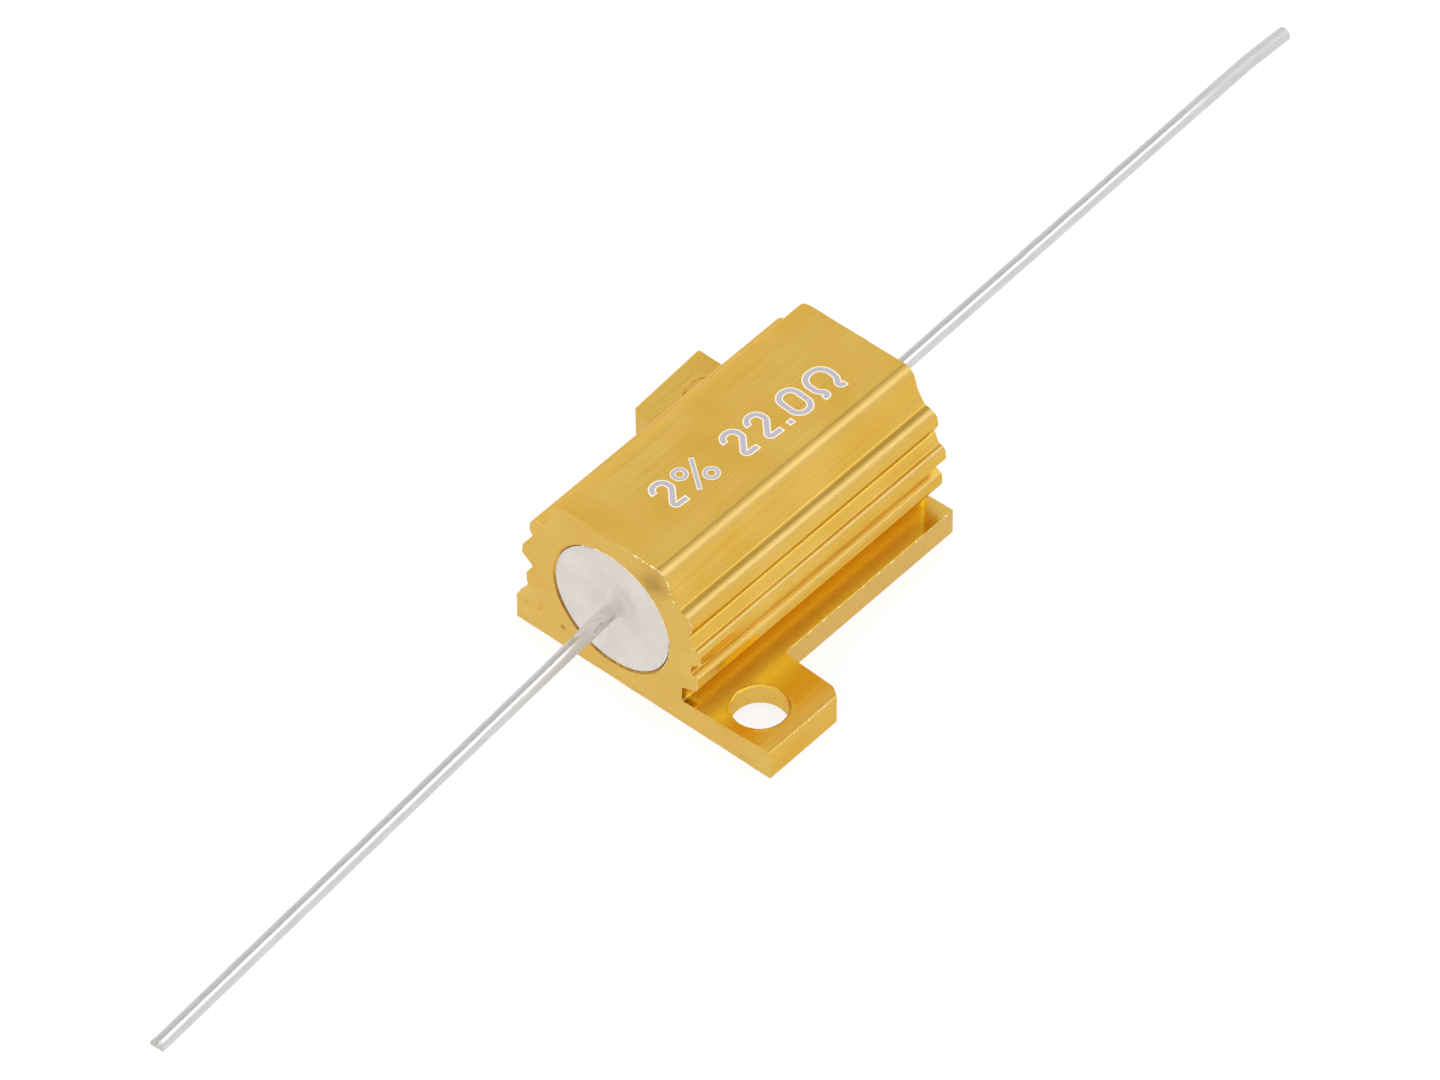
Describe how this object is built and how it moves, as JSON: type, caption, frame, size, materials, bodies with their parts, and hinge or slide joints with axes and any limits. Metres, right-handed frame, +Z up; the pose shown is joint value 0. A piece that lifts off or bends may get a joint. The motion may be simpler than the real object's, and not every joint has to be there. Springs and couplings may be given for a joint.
{
  "type": "wirewound power resistor",
  "caption": "Wirewound resistor in a finned, gold-anodised aluminium housing, with fixing lugs on opposite corners of its base and a stiff wire lead out of each potted end.",
  "frame": {"origin": "middle of the flat mounting face, under the housing", "axes": "+Y along the resistor's axis from the front lead to the rear lead, +Z up from the mounting face, +X towards the side of the front lug"},
  "size_m": [0.0168, 0.0716, 0.0081],
  "materials": {
    "anodised_aluminium": "gold anodised, satin",
    "potting_cement": "matt",
    "core_ceramic": "matt",
    "cap_steel": "nickel plated",
    "resistance_wire": "drawn nickel-chromium",
    "tinned_wire": "bright tinned"
  },
  "bodies": {
    "root": {"housing": "anodised_aluminium", "potting": "potting_cement", "ceramic_core": "core_ceramic", "front_end_cap": "cap_steel", "rear_end_cap": "cap_steel", "resistance_winding": "resistance_wire", "front_lead": "tinned_wire", "rear_lead": "tinned_wire"}
  },
  "joints": []
}
